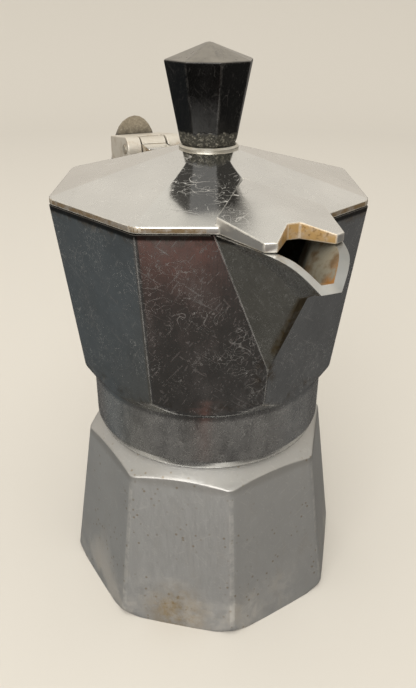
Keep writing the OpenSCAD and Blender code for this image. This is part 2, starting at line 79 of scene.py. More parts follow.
# ---------- materials ----------
class Finish:
    """A short way to write the nodes of one material."""

    def __init__(self, name, colour, roughness, metallic=1.0):
        self.material = bpy.data.materials.new(name)
        self.material.use_nodes = True
        self.tree = self.material.node_tree
        self.shader = self.tree.nodes["Principled BSDF"]
        self.shader.inputs["Metallic"].default_value = metallic
        self.place = self.add("ShaderNodeTexCoord").outputs["Object"]
        self.x, self.y, self.z = self.add("ShaderNodeSeparateXYZ", {0: self.place}).outputs
        self.colour = colour
        self.roughness = roughness
        self.metal = metallic
        self.normal = None

    def add(self, kind, inputs=None, **settings):
        node = self.tree.nodes.new(kind)
        for key, value in settings.items():
            setattr(node, key, value)
        for key, value in (inputs or {}).items():
            if isinstance(value, bpy.types.NodeSocket):
                self.tree.links.new(value, node.inputs[key])
            else:
                node.inputs[key].default_value = value
        return node

    def sum(self, operation, a, b=0.0):
        return self.add("ShaderNodeMath", {0: a, 1: b}, operation=operation).outputs[0]

    def times(self, *values):
        result = values[0]
        for value in values[1:]:
            result = self.sum("MULTIPLY", result, value)
        return result

    def most(self, *values):
        result = values[0]
        for value in values[1:]:
            result = self.sum("MAXIMUM", result, value)
        return result

    def stretched(self, scale, shift=(0, 0, 0)):
        return self.add("ShaderNodeMapping", {0: self.place, 1: shift, 3: scale}).outputs[0]

    def noise(self, size, detail=2.0, rough=0.5, at=None, twist=0.0):
        inputs = {"Vector": at or self.place, "Scale": 1 / size, "Detail": detail, "Roughness": rough,
                  "Distortion": twist}
        return self.add("ShaderNodeTexNoise", inputs).outputs[0]

    def spots(self, size):
        return self.add("ShaderNodeTexVoronoi", {"Vector": self.place, "Scale": 1 / size}).outputs[0]

    def rise(self, value, low, high, start=0.0, end=1.0):
        """Goes smoothly from start, where value is low, to end, where it is high."""
        inputs = {0: value, 1: low, 2: high, 3: start, 4: end}
        return self.add("ShaderNodeMapRange", inputs, interpolation_type="SMOOTHSTEP").outputs[0]

    def mark(self, name):
        """What piece_from() wrote on the mesh: 1 on the faces so marked."""
        return self.add("ShaderNodeAttribute", attribute_name=name).outputs["Fac"]

    def lines(self, size, width, slant, across, shift):
        """Long straight scratches, about size long, at a slant on the flat side that faces the angle across."""
        thin = 24.0
        inputs = {0: self.place, 1: shift, 2: (slant, 0, across), 3: (1 / thin, 1, 1 / thin)}
        turned = self.add("ShaderNodeMapping", inputs, vector_type="TEXTURE").outputs[0]
        streaks = self.noise(size, 1.0, 0.5, turned)
        return self.rise(streaks, 0.735 - width, 0.75 - width * 0.5)

    def hairlines(self, size, width, sides, slants, flat=False):
        """Sets of scratches, two slants for each side."""
        sets = []
        for i, side in enumerate(sides):
            for k, slant in enumerate(slants):
                turn = (0.0, slant + side) if flat else (slant, side)
                shift = (0.31 * i + 0.1, 0.27 * k, 0.13 * i)
                sets.append(self.lines(size * (1 + 0.25 * k), width, *turn, shift=shift))
        return self.most(*sets)

    def near(self, place, size):
        """1 close to a point in metres, fading to 0 at that distance."""
        away = self.add("ShaderNodeVectorMath", {0: self.place, 1: place}, operation="DISTANCE").outputs["Value"]
        return self.rise(away, size * 0.2, size, 1.0, 0.0)

    def curls(self, size, width, twist=1.5, shift=(0, 0, 0)):
        """Fine curling lines, where a twisted noise crosses its middle."""
        field = self.noise(size, 1.0, 0.6, self.stretched((1, 1, 1), shift=shift), twist)
        off = self.sum("ABSOLUTE", self.sum("SUBTRACT", field, 0.5))
        return self.rise(off, 0.0, width, 1.0, 0.0)

    def paint(self, factor, colour):
        """Lays a colour over what is there, as much as factor says."""
        inputs = {0: factor, 6: self.colour, 7: colour}
        self.colour = self.add("ShaderNodeMix", inputs, data_type="RGBA").outputs[2]

    def shade(self, factor, dark, light):
        """Multiplies the colour by dark where factor is 0, and by light where it is 1."""
        level = self.add("ShaderNodeMapRange", {0: factor, 1: 0.25, 2: 0.75, 3: dark, 4: light}).outputs[0]
        inputs = {0: 1.0, 6: self.colour, 7: level}
        self.colour = self.add("ShaderNodeMix", inputs, data_type="RGBA", blend_type="MULTIPLY").outputs[2]

    def dull(self, factor, roughness):
        inputs = {0: factor, 2: self.roughness, 3: roughness}
        self.roughness = self.add("ShaderNodeMix", inputs, data_type="FLOAT").outputs[0]

    def tarnish(self, factor, colour, metal=0.25):
        """Lays a stain over the metal: its colour, and a surface that mirrors less."""
        self.paint(factor, colour)
        inputs = {0: factor, 2: self.metal, 3: metal}
        self.metal = self.add("ShaderNodeMix", inputs, data_type="FLOAT").outputs[0]

    def relief(self, height, depth, strength=1.0):
        inputs = {"Height": height, "Distance": depth, "Strength": strength}
        if self.normal:
            inputs["Normal"] = self.normal
        self.normal = self.add("ShaderNodeBump", inputs).outputs[0]

    def done(self):
        for key, value in (("Base Color", self.colour), ("Roughness", self.roughness), ("Normal", self.normal),
                           ("Metallic", self.metal)):
            if isinstance(value, bpy.types.NodeSocket):
                self.tree.links.new(value, self.shader.inputs[key])
            elif value is not None:
                self.shader.inputs[key].default_value = value
        return self.material


STAIN = (0.20, 0.105, 0.035, 1)
OLD_COFFEE = (0.28, 0.19, 0.10, 1)
CHAMBER_SIDES = tuple(math.radians(a) for a in (-22.5, -67.5, 22.5))
BOILER_SIDES = tuple(math.radians(a) for a in (-35, -80, 10))
GOLD_STAIN = (0.52, 0.34, 0.14, 1)


def boiler_finish():
    """Satin cast aluminium, brushed up and down, with brown stains and small pits near the foot, and painted shade
    on its shoulder.
    """
    f = Finish("boiler_aluminium_satin", (0.54, 0.545, 0.54, 1), 0.40, 0.80)
    f.shade(f.noise(0.022, 3, 0.6), 0.93, 1.05)
    brushed = f.noise(0.012, 4, 0.7, f.stretched((24, 24, 1.3)))
    fine = f.noise(0.004, 3, 0.7, f.stretched((24, 24, 1)))
    f.shade(brushed, 0.98, 1.02)
    f.dull(f.rise(brushed, 0.35, 0.7), 0.46)
    f.relief(brushed, 0.00003, 0.25)
    f.relief(fine, 0.00003, 0.4)
    f.relief(f.noise(0.0007, 3, 0.7), 0.00005, 0.5)
    scratches = f.hairlines(0.012, 0.035, BOILER_SIDES, (0.5, -0.8))
    f.paint(f.times(scratches, 0.15), (0.85, 0.84, 0.8, 1))
    low = f.rise(f.z, 0.003, 0.021, 1.0, 0.0)
    cloud = f.rise(f.noise(0.012, 4, 0.65), 0.44, 0.66)
    faint = f.rise(f.noise(0.006, 4, 0.7, f.stretched((1, 1, 0.5), shift=(0.1, 0.2, 0))), 0.5, 0.75)
    stain = f.times(cloud, low)
    f.tarnish(f.times(stain, 0.18), (0.36, 0.26, 0.13, 1), 0.6)
    ring = f.times(f.near((0.0292, -0.0208, 0.0045), 0.011), f.rise(f.noise(0.004, 5, 0.75), 0.34, 0.62, 0.25, 1.0))
    f.tarnish(f.times(ring, 0.75), (0.28, 0.185, 0.06, 1), 0.6)
    f.paint(f.times(faint, f.rise(f.z, 0.0, 0.034, 0.16, 0.05)), (0.36, 0.27, 0.15, 1))
    chosen = f.rise(f.noise(0.009, 2, 0.6, f.stretched((1, 1, 1), shift=(0.4, 0.1, 0.2))), 0.47, 0.58)
    pits = f.times(f.rise(f.spots(0.0017), 0.12, 0.24, 1.0, 0.0), chosen)
    f.paint(f.times(pits, 0.55), (0.27, 0.19, 0.09, 1))
    f.relief(pits, 0.0002, 0.0)
    f.paint(f.times(f.mark("edge"), f.rise(f.noise(0.003, 3, 0.7), 0.35, 0.6), 0.4), (0.85, 0.84, 0.80, 1))
    ledge = f.times(f.rise(f.z, 0.0385, 0.0402), f.noise(0.006, 3, 0.6))
    # painted shade: from 38.5 mm up, the colour is darkened to 0.84 over the upward-facing shoulder
    f.shade(f.rise(f.z, 0.0385, 0.0402, 0.25, 0.75), 1.0, 0.84)
    f.paint(f.times(ledge, 0.3), (0.47, 0.42, 0.35, 1))
    inner = f.mark("inside")
    f.paint(f.times(inner, f.rise(f.noise(0.008, 4, 0.7), 0.35, 0.65, 0.35, 0.75)), (0.33, 0.30, 0.25, 1))
    f.dull(f.most(stain, inner), 0.62)
    return f.done()


def chamber_finish():
    """Polished cast aluminium, dark with what it mirrors, scratched, and stained by the rim and the beak, with
    painted shade under the rim and on the beak's lip, and pale corner lines of wear and painted highlight.
    """
    f = Finish("chamber_aluminium_polished", (0.76, 0.765, 0.755, 1), 0.14)
    f.shade(f.noise(0.017, 3, 0.6), 0.84, 1.08)
    smear = f.noise(0.008, 5, 0.7, f.stretched((1.0, 1.0, 0.45)))
    f.dull(f.rise(smear, 0.42, 0.72), 0.27)
    f.shade(f.noise(0.0028, 5, 0.75), 0.90, 1.12)
    f.dull(f.rise(f.noise(0.0018, 5, 0.75), 0.50, 0.68, 0.0, 0.22), 0.30)
    tool = f.noise(0.006, 3, 0.7, f.stretched((18, 18, 1)))
    f.relief(tool, 0.00002, 0.4)
    f.relief(f.noise(0.007, 2, 0.5), 0.00012, 0.30)
    fine = f.hairlines(0.013, 0.040, CHAMBER_SIDES, (0.95, -0.6))
    f.paint(f.times(fine, 0.2), (0.98, 0.97, 0.95, 1))
    f.dull(f.times(fine, 0.42), 0.5)
    where = f.rise(f.noise(0.011, 2, 0.5), 0.45, 0.60)
    curl = f.times(f.most(f.curls(0.0055, 0.010), f.curls(0.0035, 0.012, 1.8, (0.6, 0.3, 0))), where)
    f.dull(f.times(curl, 0.6), 0.42)
    f.tarnish(f.times(curl, 0.12), (0.75, 0.75, 0.72, 1), 0.4)
    specks = f.times(f.rise(f.spots(0.0008), 0.08, 0.18, 1.0, 0.0), f.rise(f.noise(0.008, 3, 0.6), 0.58, 0.70))
    f.dull(f.times(specks, 0.6), 0.5)
    ragged = f.noise(0.0030, 4, 0.7)
    middle = f.sum("ABSOLUTE", f.y)
    ears = f.mark("ears")
    outer = f.sum("SUBTRACT", 1.0, f.most(f.mark("inside"), ears))
    under_rim = f.times(f.rise(f.z, RIM_Z - 0.0026, RIM_Z - 0.0006), f.rise(ragged, 0.40, 0.62), outer)
    f.paint(f.times(under_rim, 0.6), OLD_COFFEE)
    # painted shade: a near-black band painted just under the rim, where the lid's edge shades the chamber
    gap = f.times(f.rise(f.z, RIM_Z - 0.0011, RIM_Z - 0.0005), outer, f.rise(f.x, 0.0345, 0.0365, 1.0, 0.0))
    f.paint(f.times(gap, 0.92), (0.05, 0.045, 0.04, 1))
    by_beak = f.times(f.rise(f.x, 0.0335, 0.0352), f.rise(f.z, 0.0745, 0.0790),
                      f.rise(f.z, 0.0955, 0.0975, 1.0, 0.0), f.rise(middle, 0.0007, 0.0013, 1.0, 0.0))
    f.paint(f.times(by_beak, f.rise(ragged, 0.3, 0.55, 0.6, 1.0), 0.95), (0.27, 0.20, 0.10, 1))
    foot = f.times(f.rise(f.x, 0.029, 0.0318), f.rise(f.z, 0.0655, 0.0700), f.rise(f.z, 0.0765, 0.0725),
                   f.rise(middle, 0.0006, 0.0036, 1.0, 0.0), f.rise(ragged, 0.40, 0.6))
    f.paint(f.times(foot, 0.75), OLD_COFFEE)
    seam = f.times(f.rise(f.z, SKIRT_Z + 0.0150, SKIRT_Z + 0.0172), f.rise(f.z, SKIRT_Z + 0.0195, SKIRT_Z + 0.0176),
                   f.rise(ragged, 0.48, 0.64))
    f.paint(f.times(seam, 0.4), OLD_COFFEE)
    edge = f.mark("edge")
    beak = f.rise(f.x, 0.0345, 0.0365, 1.0, 0.3)
    rubbed = f.rise(f.noise(0.0022, 3, 0.7), 0.25, 0.65, 0.3, 1.0)
    # pale line on the edge mark: on the corners and the foot's cut lines it is wear and painted highlight; on the
    # ears and the beak's lip and crease it is wear
    f.tarnish(f.times(edge, beak, rubbed, 0.5), (0.93, 0.92, 0.89, 1), 0.75)
    skirt = f.rise(f.z, SKIRT_Z + 0.0140, SKIRT_Z + 0.0128)
    f.tarnish(f.times(skirt, f.rise(smear, 0.3, 0.6, 0.02, 0.10)), (0.80, 0.78, 0.73, 1), 0.3)
    f.dull(f.times(skirt, 0.6), 0.26)
    lip = f.times(edge, f.rise(f.x, 0.036, 0.046))
    f.tarnish(f.times(lip, f.rise(ragged, 0.46, 0.66), 0.25), (0.50, 0.34, 0.16, 1), 0.6)
    # painted shade: the beak's lip is painted darker grey, and darker still towards +y, to dim the lamp's highlight
    # on it
    f.paint(f.times(lip, 0.6), (0.54, 0.55, 0.54, 1))
    f.paint(f.times(lip, f.rise(f.y, -0.0005, 0.0025), 0.8), (0.36, 0.37, 0.365, 1))
    f.tarnish(f.times(ears, 0.7), (0.62, 0.56, 0.46, 1), 0.35)
    f.paint(f.times(ears, f.rise(ragged, 0.48, 0.66), 0.4), (0.42, 0.33, 0.22, 1))
    f.dull(ears, 0.45)
    inner = f.mark("inside")
    cloud = f.rise(f.noise(0.0060, 4, 0.72), 0.40, 0.62)
    f.tarnish(f.times(inner, 0.85), (0.26, 0.235, 0.16, 1), 0.45)
    f.paint(f.times(inner, cloud, 0.8), (0.17, 0.095, 0.035, 1))
    f.paint(f.times(inner, f.rise(f.x, 0.047, 0.0505), f.rise(ragged, 0.4, 0.55), 0.9), (0.50, 0.24, 0.07, 1))
    f.dull(f.most(inner, f.times(under_rim, 0.5), f.times(by_beak, 0.5), f.times(lip, 0.6)), 0.50)
    return f.done()


def lid_finish():
    """Polished aluminium gone dull, with curling etched marks, fine wiping scratches and brown at the cut edge."""
    f = Finish("lid_aluminium_dull", (0.85, 0.85, 0.83, 1), 0.10)
    f.shade(f.noise(0.015, 3, 0.6), 0.90, 1.05)
    f.dull(f.rise(f.noise(0.010, 4, 0.65), 0.46, 0.78), 0.19)
    f.relief(f.noise(0.006, 2, 0.5), 0.00008, 0.25)
    where = f.rise(f.noise(0.009, 3, 0.6, f.stretched((1, 1, 1), shift=(0.2, 0.5, 0))), 0.40, 0.56)
    curl = f.times(f.most(f.curls(0.0080, 0.011, 2.2), f.curls(0.0048, 0.012, 1.8, (0.3, 0.1, 0.2))), where)
    f.tarnish(f.times(curl, 0.55), (0.60, 0.58, 0.54, 1), 0.6)
    f.dull(f.times(curl, 0.9), 0.55)
    fine = f.hairlines(0.010, 0.04, (0.0,), (0.3, 1.2, -0.7), flat=True)
    f.dull(f.times(fine, 0.6), 0.42)
    specks = f.times(f.rise(f.spots(0.0010), 0.10, 0.20, 1.0, 0.0), f.rise(f.noise(0.005, 3, 0.6), 0.54, 0.64))
    f.dull(f.times(specks, 0.7), 0.5)
    f.paint(f.times(specks, 0.3), (0.45, 0.40, 0.32, 1))
    ragged = f.noise(0.0025, 4, 0.7)
    hood = f.times(f.rise(f.x, 0.024, 0.030), f.rise(f.sum("ABSOLUTE", f.y), 0.0128, 0.0136, 1.0, 0.0))
    side = f.times(f.mark("side"), f.rise(hood, 0.0, 1.0, 1.0, 0.3))
    f.tarnish(f.times(side, f.rise(ragged, 0.25, 0.6, 0.5, 1.0)), (0.24, 0.17, 0.095, 1), 0.6)
    f.dull(f.times(f.rise(f.x, 0.024, 0.030), 0.6), 0.34)
    notch = f.mark("notch")
    f.tarnish(f.times(notch, f.rise(ragged, 0.3, 0.6, 0.6, 1.0)), GOLD_STAIN, 0.5)
    f.paint(f.times(notch, f.rise(f.noise(0.0012, 3, 0.7), 0.55, 0.68, 0, 0.7)), STAIN)
    tongue = f.rise(f.x, -0.0365, -0.0345, 1.0, 0.0)
    f.tarnish(f.times(tongue, 0.65), (0.60, 0.545, 0.45, 1), 0.35)
    under = f.mark("under")
    f.paint(f.times(under, f.rise(f.noise(0.007, 4, 0.7), 0.4, 0.65, 0.2, 0.7)), (0.45, 0.37, 0.26, 1))
    f.dull(f.most(under, tongue, f.times(notch, 0.9), f.times(side, 0.8)), 0.5)
    f.tarnish(f.times(f.mark("edge"), f.rise(f.noise(0.0022, 3, 0.7), 0.30, 0.55), 0.4), (0.80, 0.76, 0.67, 1), 0.5)
    return f.done()


def bakelite_finish(name, base, worn_low, worn_high, dusty, film_colour, crust_colour):
    """Black Bakelite: glossy, finely scratched, dusty on top, and worn pale between two heights."""
    f = Finish(name, (base, base, base * 0.96, 1), 0.13, 0.0)
    f.shade(f.noise(0.012, 3, 0.6), 0.7, 1.5)
    f.dull(f.rise(f.noise(0.007, 4, 0.65), 0.4, 0.7), 0.24)
    f.relief(f.noise(0.004, 2, 0.5), 0.00008, 0.25)
    fine = f.hairlines(0.009, 0.045, CHAMBER_SIDES[:2], (1.1, -0.8))
    f.paint(f.times(fine, 0.05), (0.20, 0.19, 0.18, 1))
    curl = f.times(f.curls(0.006, 0.008, 1.2), f.rise(f.noise(0.008, 2, 0.5), 0.56, 0.64))
    f.paint(f.times(curl, 0.10), (0.30, 0.29, 0.27, 1))
    specks = f.times(f.rise(f.spots(0.0008), 0.08, 0.17, 1.0, 0.0), f.rise(f.noise(0.005, 3, 0.6), 0.56, 0.64))
    f.paint(f.times(specks, 0.3), (0.30, 0.28, 0.25, 1))
    up = f.mark("up")
    film = f.times(up, up, f.rise(f.noise(0.004, 4, 0.7), 0.3, 0.7, dusty * 0.7, dusty))
    f.paint(film, film_colour)
    f.dull(film, 0.42)
    edge = f.times(f.mark("edge"), f.rise(f.noise(0.0018, 4, 0.7), 0.4, 0.6))
    f.paint(f.times(edge, 0.3), (0.05, 0.048, 0.045, 1))
    ragged = f.times(f.noise(0.0016, 3, 0.75), 0.0026)
    height = f.sum("ADD", f.z, ragged)
    crust = f.rise(height, worn_low, worn_high)
    grit = f.noise(0.0006, 4, 0.8)
    f.paint(f.times(crust, f.rise(grit, 0.3, 0.62, 0.5, 1.0)), crust_colour)
    f.paint(f.times(crust, f.rise(grit, 0.52, 0.64, 0, 0.55)), (0.36, 0.34, 0.28, 1))
    f.dull(crust, 0.7)
    f.relief(f.times(crust, grit), 0.0004, 0.6)
    return f.done()


def turned_finish(name, colour, roughness, stain, stain_colour, metallic=1.0):
    """A small machined or moulded piece: fine grain, smears, scratches and some stain."""
    f = Finish(name, colour, roughness, metallic)
    f.shade(f.noise(0.004, 3, 0.65), 0.82, 1.1)
    f.dull(f.rise(f.noise(0.0030, 4, 0.65), 0.4, 0.7), min(1.0, roughness + 0.18))
    f.relief(f.noise(0.0012, 3, 0.7), 0.00005, 0.5)
    f.relief(f.noise(0.003, 2, 0.6, f.stretched((1, 1, 9))), 0.00004, 0.4)
    fine = f.hairlines(0.005, 0.05, (0.4,), (0.6, -0.7))
    f.dull(f.times(fine, 0.7), min(1.0, roughness + 0.3))
    mottle = f.rise(f.noise(0.0035, 4, 0.7, f.stretched((1, 1, 1), shift=(0.3, 0.6, 0.1))), 0.45, 0.7)
    f.paint(f.times(mottle, stain), stain_colour)
    bare = tuple(min(1.0, c * 1.25) for c in colour[:3]) + (1,)
    f.paint(f.times(f.mark("edge"), f.rise(f.noise(0.0015, 3, 0.7), 0.4, 0.6), 0.35), bare)
    return f.done()


# ---------- pieces refined from the frame's own solids ----------
MM = 0.001
FLAT = math.radians(0.7)
CREASE = math.radians(34)
OCT = math.cos(math.radians(22.5))
SECTOR = (0, 0.4, 0.8, 1.2, 1.7, 2.3, 3.2, 4.6, 7, 10.5, 15, 19.5)
BOILER_TURN = -12.5
# [radius, height] down the turned shape that trims each octagon, in millimetres; WIDE leaves the octagon alone
WIDE = 60
# each octagon's radius to its corners falls or grows with height; SOFT rounds the corners, TRIM cuts the flat sides
BOILER_R, BOILER_SLOPE, BOILER_SOFT, BOILER_TRIM_SOFT = 37.5, 0.15062, 1.1, 0.55
NECK_R = 24.8
CHAMBER_R, CHAMBER_Z, CHAMBER_SLOPE, CHAMBER_SOFT, CHAMBER_TRIM_SOFT = 31.5, 63.1, 0.11735, 0.5, 0.35
SKIRT_R, SKIRT_TOP, TRIM_Z, TRIM_SLOPE = 28.6, 58.9, 59.185, 1.35
RIM_R = 36.1
RIM_STEPS = ((0.0, 0.12), (0.0, 2.05), (0.12, 2.165), (1.0, 2.3))
BOILER_ROWS = [(0.1, 0), (18, 0), (30, 0), (34.6, 0), (35.5, 0), (36.1, 0.15), (36.45, 0.5), (36.95, 0.95),
               (37.6, 1.4), (38.5, 2.0), (40.5, 4.2)]
BOILER_ROWS += [(WIDE, z) for z in (6, 8, 11, 14, 17, 20, 23, 26, 29, 32, 34, 36, 37)]
BOILER_ROWS += [(37.5 - 8.1 * i / 30, 37.67 + 3.758 * i / 30) for i in range(31)]
BOILER_ROWS += [(28.5, 41.98), (27.6, 42.53), (26.8, 43.18), (26, 43.83), (25.3, 44.73), (24.75, 45.6),
                (24.7, 46.1)]
SKIRT_ROWS = [(27.6, 44.8), (27.85, 44.85), (28.0, 45.1), (28.25, 45.9), (28.5, 46.7), (28.6, 47.0), (28.6, 47.35),
              (28.6, 49), (28.6, 52), (28.6, 55), (28.6, 57.5), (28.6, 58.6)]
CHAMFER_ROWS = [(SKIRT_R + 0.12 * i, TRIM_Z + 0.162 * i) for i in range(28)]
WALL_ROWS = [(WIDE, z) for z in (63.9, 64.4, 65, 66, 67.2, 68.5)] + [(WIDE, 70 + 1.5 * i) for i in range(21)]
WALL_ROWS += [(WIDE, 101.0), (WIDE, 101.6), (WIDE, 102.0), (WIDE, 102.2)]
RIM_MM = 102.3
BAND = [(SKIRT_R, TRIM_Z), (29.25, 60.06), (29.25, 64), (28.9, 68)]


def facing(axis, least):
    """True for a face that looks along axis, by at least that much."""
    return lambda face, centre: face.normal.dot(axis) > least


def looks_in(face, centre):
    """True for a face inside the pot's wall, looking at the axis."""
    out = Vector((centre.x, centre.y, 0))
    if out.length < 1e-6:
        return False
    return face.normal.dot(out.normalized()) < -0.2


def smooth_least(a, b, k):
    h = max(k - abs(a - b), 0) / k
    return min(a, b) - h * h * k / 4


def octagon_radius(corner, turn, angle, soft):
    """Radius of an octagon with softly rounded corners, in a direction given in degrees."""
    off = (angle - turn + 22.5) % 45 - 22.5
    near = corner * OCT / math.cos(math.radians(22.5 - abs(off)))
    far = corner * OCT / math.cos(math.radians(22.5 + abs(off)))
    return smooth_least(near, far, soft)


def chamber_corner(z):
    """Radius of the chamber's octagon to its corners, at a height; both in millimetres."""
    return CHAMBER_R + CHAMBER_SLOPE * (z - CHAMBER_Z)


def round_point(radius, angle, z):
    """A point in metres, from millimetres and degrees round the axis."""
    return Vector((radius * math.cos(math.radians(angle)), radius * math.sin(math.radians(angle)), z)) * MM


def round_angles(turn):
    """Directions round the axis, in degrees, closest together at the octagon's corners."""
    half = SECTOR + (22.5,)
    one = sorted(set([-a for a in half[:-1]] + list(half)))
    return [turn + 45 * k + a for k in range(8) for a in one]


def grid(mesh, rows, closed=True):
    """Adds faces over rows of points; each row goes once round."""
    made = [[mesh.verts.new(p) for p in row] for row in rows]
    bands = []
    for low, high in zip(made, made[1:]):
        count = len(low)
        band = []
        for i in range(count if closed else count - 1):
            j = (i + 1) % count
            band.append(mesh.faces.new((low[i], low[j], high[j], high[i])))
        bands.append(band)
    return bands


def solid_of(node, merge=6e-5):
    mesh = bmesh.new()
    mesh.from_mesh(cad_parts[node].data)
    bmesh.ops.remove_doubles(mesh, verts=mesh.verts, dist=merge)
    bmesh.ops.dissolve_limit(mesh, angle_limit=FLAT, verts=mesh.verts, edges=mesh.edges)
    return mesh


def round_edges(mesh, width, angle, segments=2, keep=None):
    """Rounds the edges that turn by more than angle, and returns the new faces."""
    edges = [e for e in mesh.edges
             if e.is_manifold and e.calc_face_angle(0) > angle and (keep is None or keep(e))]
    made = bmesh.ops.bevel(mesh, geom=edges, offset=width, offset_type="OFFSET", segments=segments, profile=0.5,
                           affect="EDGES", clamp_overlap=False)
    return made["faces"]


def piece_from(mesh, name, nodes, body, material, marks=(), worn=(), wear_and_highlight_at=None, curved=False):
    """Links a finished piece in place of CAD nodes, with marks on its faces for its finish to read.

    On a curved piece the "up" mark follows the vertex normals, and on the others the face normals.
    """
    worn = set(f for f in worn if f.is_valid)
    mesh.normal_update()
    layers = {mark: mesh.loops.layers.float.new(mark) for mark, _ in marks}
    edge = mesh.loops.layers.float.new("edge")
    up = mesh.loops.layers.float.new("up")
    for face in mesh.faces:
        face.smooth = True
        face.material_index = 0
        centre = face.calc_center_median()
        for mark, test in marks:
            if test(face, centre):
                for loop in face.loops:
                    loop[layers[mark]] = 1.0
        for loop in face.loops:
            loop[edge] = 1.0 if face in worn else (wear_and_highlight_at(loop.vert.co) if wear_and_highlight_at else 0.0)
            loop[up] = max(0.0, loop.vert.normal.z if curved else face.normal.z)
    for e in mesh.edges:
        e.smooth = not (e.is_manifold and e.calc_face_angle(0) > CREASE)
    data = bpy.data.meshes.new(name)
    mesh.to_mesh(data)
    mesh.free()
    data.materials.append(material)
    piece = bpy.data.objects.new(name, data)
    bpy.context.scene.collection.objects.link(piece)
    piece.modifiers.new("even", "WEIGHTED_NORMAL").keep_sharp = True
    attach(piece, body)
    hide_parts(*nodes)
    return piece


def off_corner(p, turn):
    """Degrees from the nearest corner of an octagon."""
    return abs((math.degrees(math.atan2(p.y, p.x)) - turn + 22.5) % 45 - 22.5)


def boiler_wear(p):
    """1 on the boiler's corners between its foot and its shoulder, and 0 away from them."""
    on_side = 0.002 < p.z < 0.039 and math.hypot(p.x, p.y) > 0.0285
    return 1.0 if on_side and off_corner(p, BOILER_TURN) < 0.9 else 0.0


def chamber_wear_and_highlight(p):
    """1 on the chamber's corners and where its flat sides are cut off round the foot, and 0 away from them; the
    pale line that marks them is wear and painted highlight.
    """
    radius, z = math.hypot(p.x, p.y) / MM, p.z / MM
    if radius < 29.0 or not 60.5 < z < 102.0:
        return 0.0
    flat = wall_radius(math.degrees(math.atan2(p.y, p.x)), z)
    trim = SKIRT_R + (z - TRIM_Z) / TRIM_SLOPE
    if abs(flat - trim) < 0.11 and abs(radius - flat) < 0.3:
        return 1.0
    return 1.0 if off_corner(p, 0) < 0.3 and trim > flat and abs(radius - flat) < 0.3 else 0.0


def boiler_shell(material):
    """The boiler: its soft-cornered outside is made here, and its inside and thread are the frame's.

    The outside has no hole for the valve: it closes the frame's bore, inside the valve. Its seams are not joined.
    """
    mesh = solid_of("boiler")
    gone = []
    for face in mesh.faces:
        c = face.calc_center_median()
        out = Vector((c.x, c.y, 0)).normalized()
        radius = math.hypot(c.x, c.y)
        of_wall = radius > 0.0257 or (0.0415 < c.z < 0.0462 and radius > 0.0245)
        of_foot = c.z < 0.001 and face.normal.z < -0.5
        if (face.normal.dot(out) > 0.1 and of_wall) or of_foot:
            gone.append(face)
    bmesh.ops.delete(mesh, geom=gone, context="FACES")
    rows = []
    angles = round_angles(BOILER_TURN)
    for limit, z in BOILER_ROWS:
        corner = BOILER_R - BOILER_SLOPE * z
        row = []
        for a in angles:
            r = limit
            if limit > NECK_R:
                r = smooth_least(octagon_radius(corner, BOILER_TURN, a, BOILER_SOFT), limit, BOILER_TRIM_SOFT)
            row.append(round_point(r, a, z))
        rows.append(row)
    grid(mesh, rows)
    return piece_from(mesh, "boiler_shell", ["boiler"], "boiler_body", material,
                      [("inside", looks_in)], wear_and_highlight_at=boiler_wear)


# ---- the beak, by matching points along its lines, from the chamber's side to the middle: (share, x, y, z) ----
BEAK_HALF = 11.8
BEAK_ROOT = Vector((32.5, 0, 71.8))
BEAK_SIDE = Vector((31.2, BEAK_HALF, RIM_MM))
SEAM = 0.7
SEAM_TIP = 71.0
SEAM_SLOPE = (BEAK_HALF + SEAM) / (RIM_MM - SEAM_TIP)
BEAK_CREASE = [(0, 31.2, 11.8, 102.3), (0.42, 36.5, 7.6, 99.8), (0.72, 40.6, 3.8, 96.9), (1, 44, 0.85, 93.1)]
BEAK_HOLLOW = [(0, 31.2, 11.8, 102.3), (0.3, 36.0, 9.6, 101.9), (0.52, 40.0, 7.7, 101.3), (0.75, 44.6, 4.6, 99.7),
               (1, 48.3, 1.4, 95.8)]
BEAK_RIM = [(0, 31.2, 11.8, 102.3), (0.26, 37.2, 9.9, 102.3), (0.5, 43, 8, 102.3), (0.7, 48.0, 6.1, 101.7),
            (0.85, 50.6, 4.3, 100.1), (1, 52.7, 2, 97.4)]
THROAT_ROOT = Vector((30, 0, 73.8))
THROAT_SIDE = Vector((29.4, 9.9, 102.3))
THROAT_RIM = [(0, 29.4, 9.9, 102.3), (0.26, 35.6, 8.3, 102.3), (0.5, 42, 6.4, 102.3), (0.7, 46.7, 4.7, 102.0),
              (0.85, 49.0, 3.2, 100.8), (1, 51.2, 1.2, 98.6)]
THROAT_CREASE = [(0, 29.4, 9.9, 102.3), (0.42, 35.4, 6.2, 100.4), (0.72, 39.6, 2.6, 97.5), (1, 42.3, 0.4, 95.4)]
BEAK_SHARES = [0, 0.04, 0.09, 0.15, 0.21, 0.27, 0.33, 0.39, 0.45, 0.51, 0.57, 0.63, 0.69, 0.74, 0.79, 0.84, 0.88,
               0.92, 0.96, 1]


def along(line, share):
    """The point at that share of the way on a smooth line through the given points."""
    for i in range(len(line) - 1):
        if share <= line[i + 1][0]:
            break
    before, a, b, after = line[max(i - 1, 0)], line[i], line[i + 1], line[min(i + 2, len(line) - 1)]
    t = (share - a[0]) / (b[0] - a[0])
    pa, pb = Vector(a[1:]), Vector(b[1:])
    slope_a = (pb - Vector(before[1:])) / max(b[0] - before[0], 1e-6)
    slope_b = (Vector(after[1:]) - pa) / max(after[0] - a[0], 1e-6)
    span = b[0] - a[0]
    return ((2 * t ** 3 - 3 * t ** 2 + 1) * pa + (t ** 3 - 2 * t ** 2 + t) * span * slope_a
            + (3 * t ** 2 - 2 * t ** 3) * pb + (t ** 3 - t ** 2) * span * slope_b)


def towards(a, b, distance):
    """The point that far from a on the way to b, but never past the middle."""
    gap = b - a
    return a + gap * min(0.45, distance / max(gap.length, 1e-6))


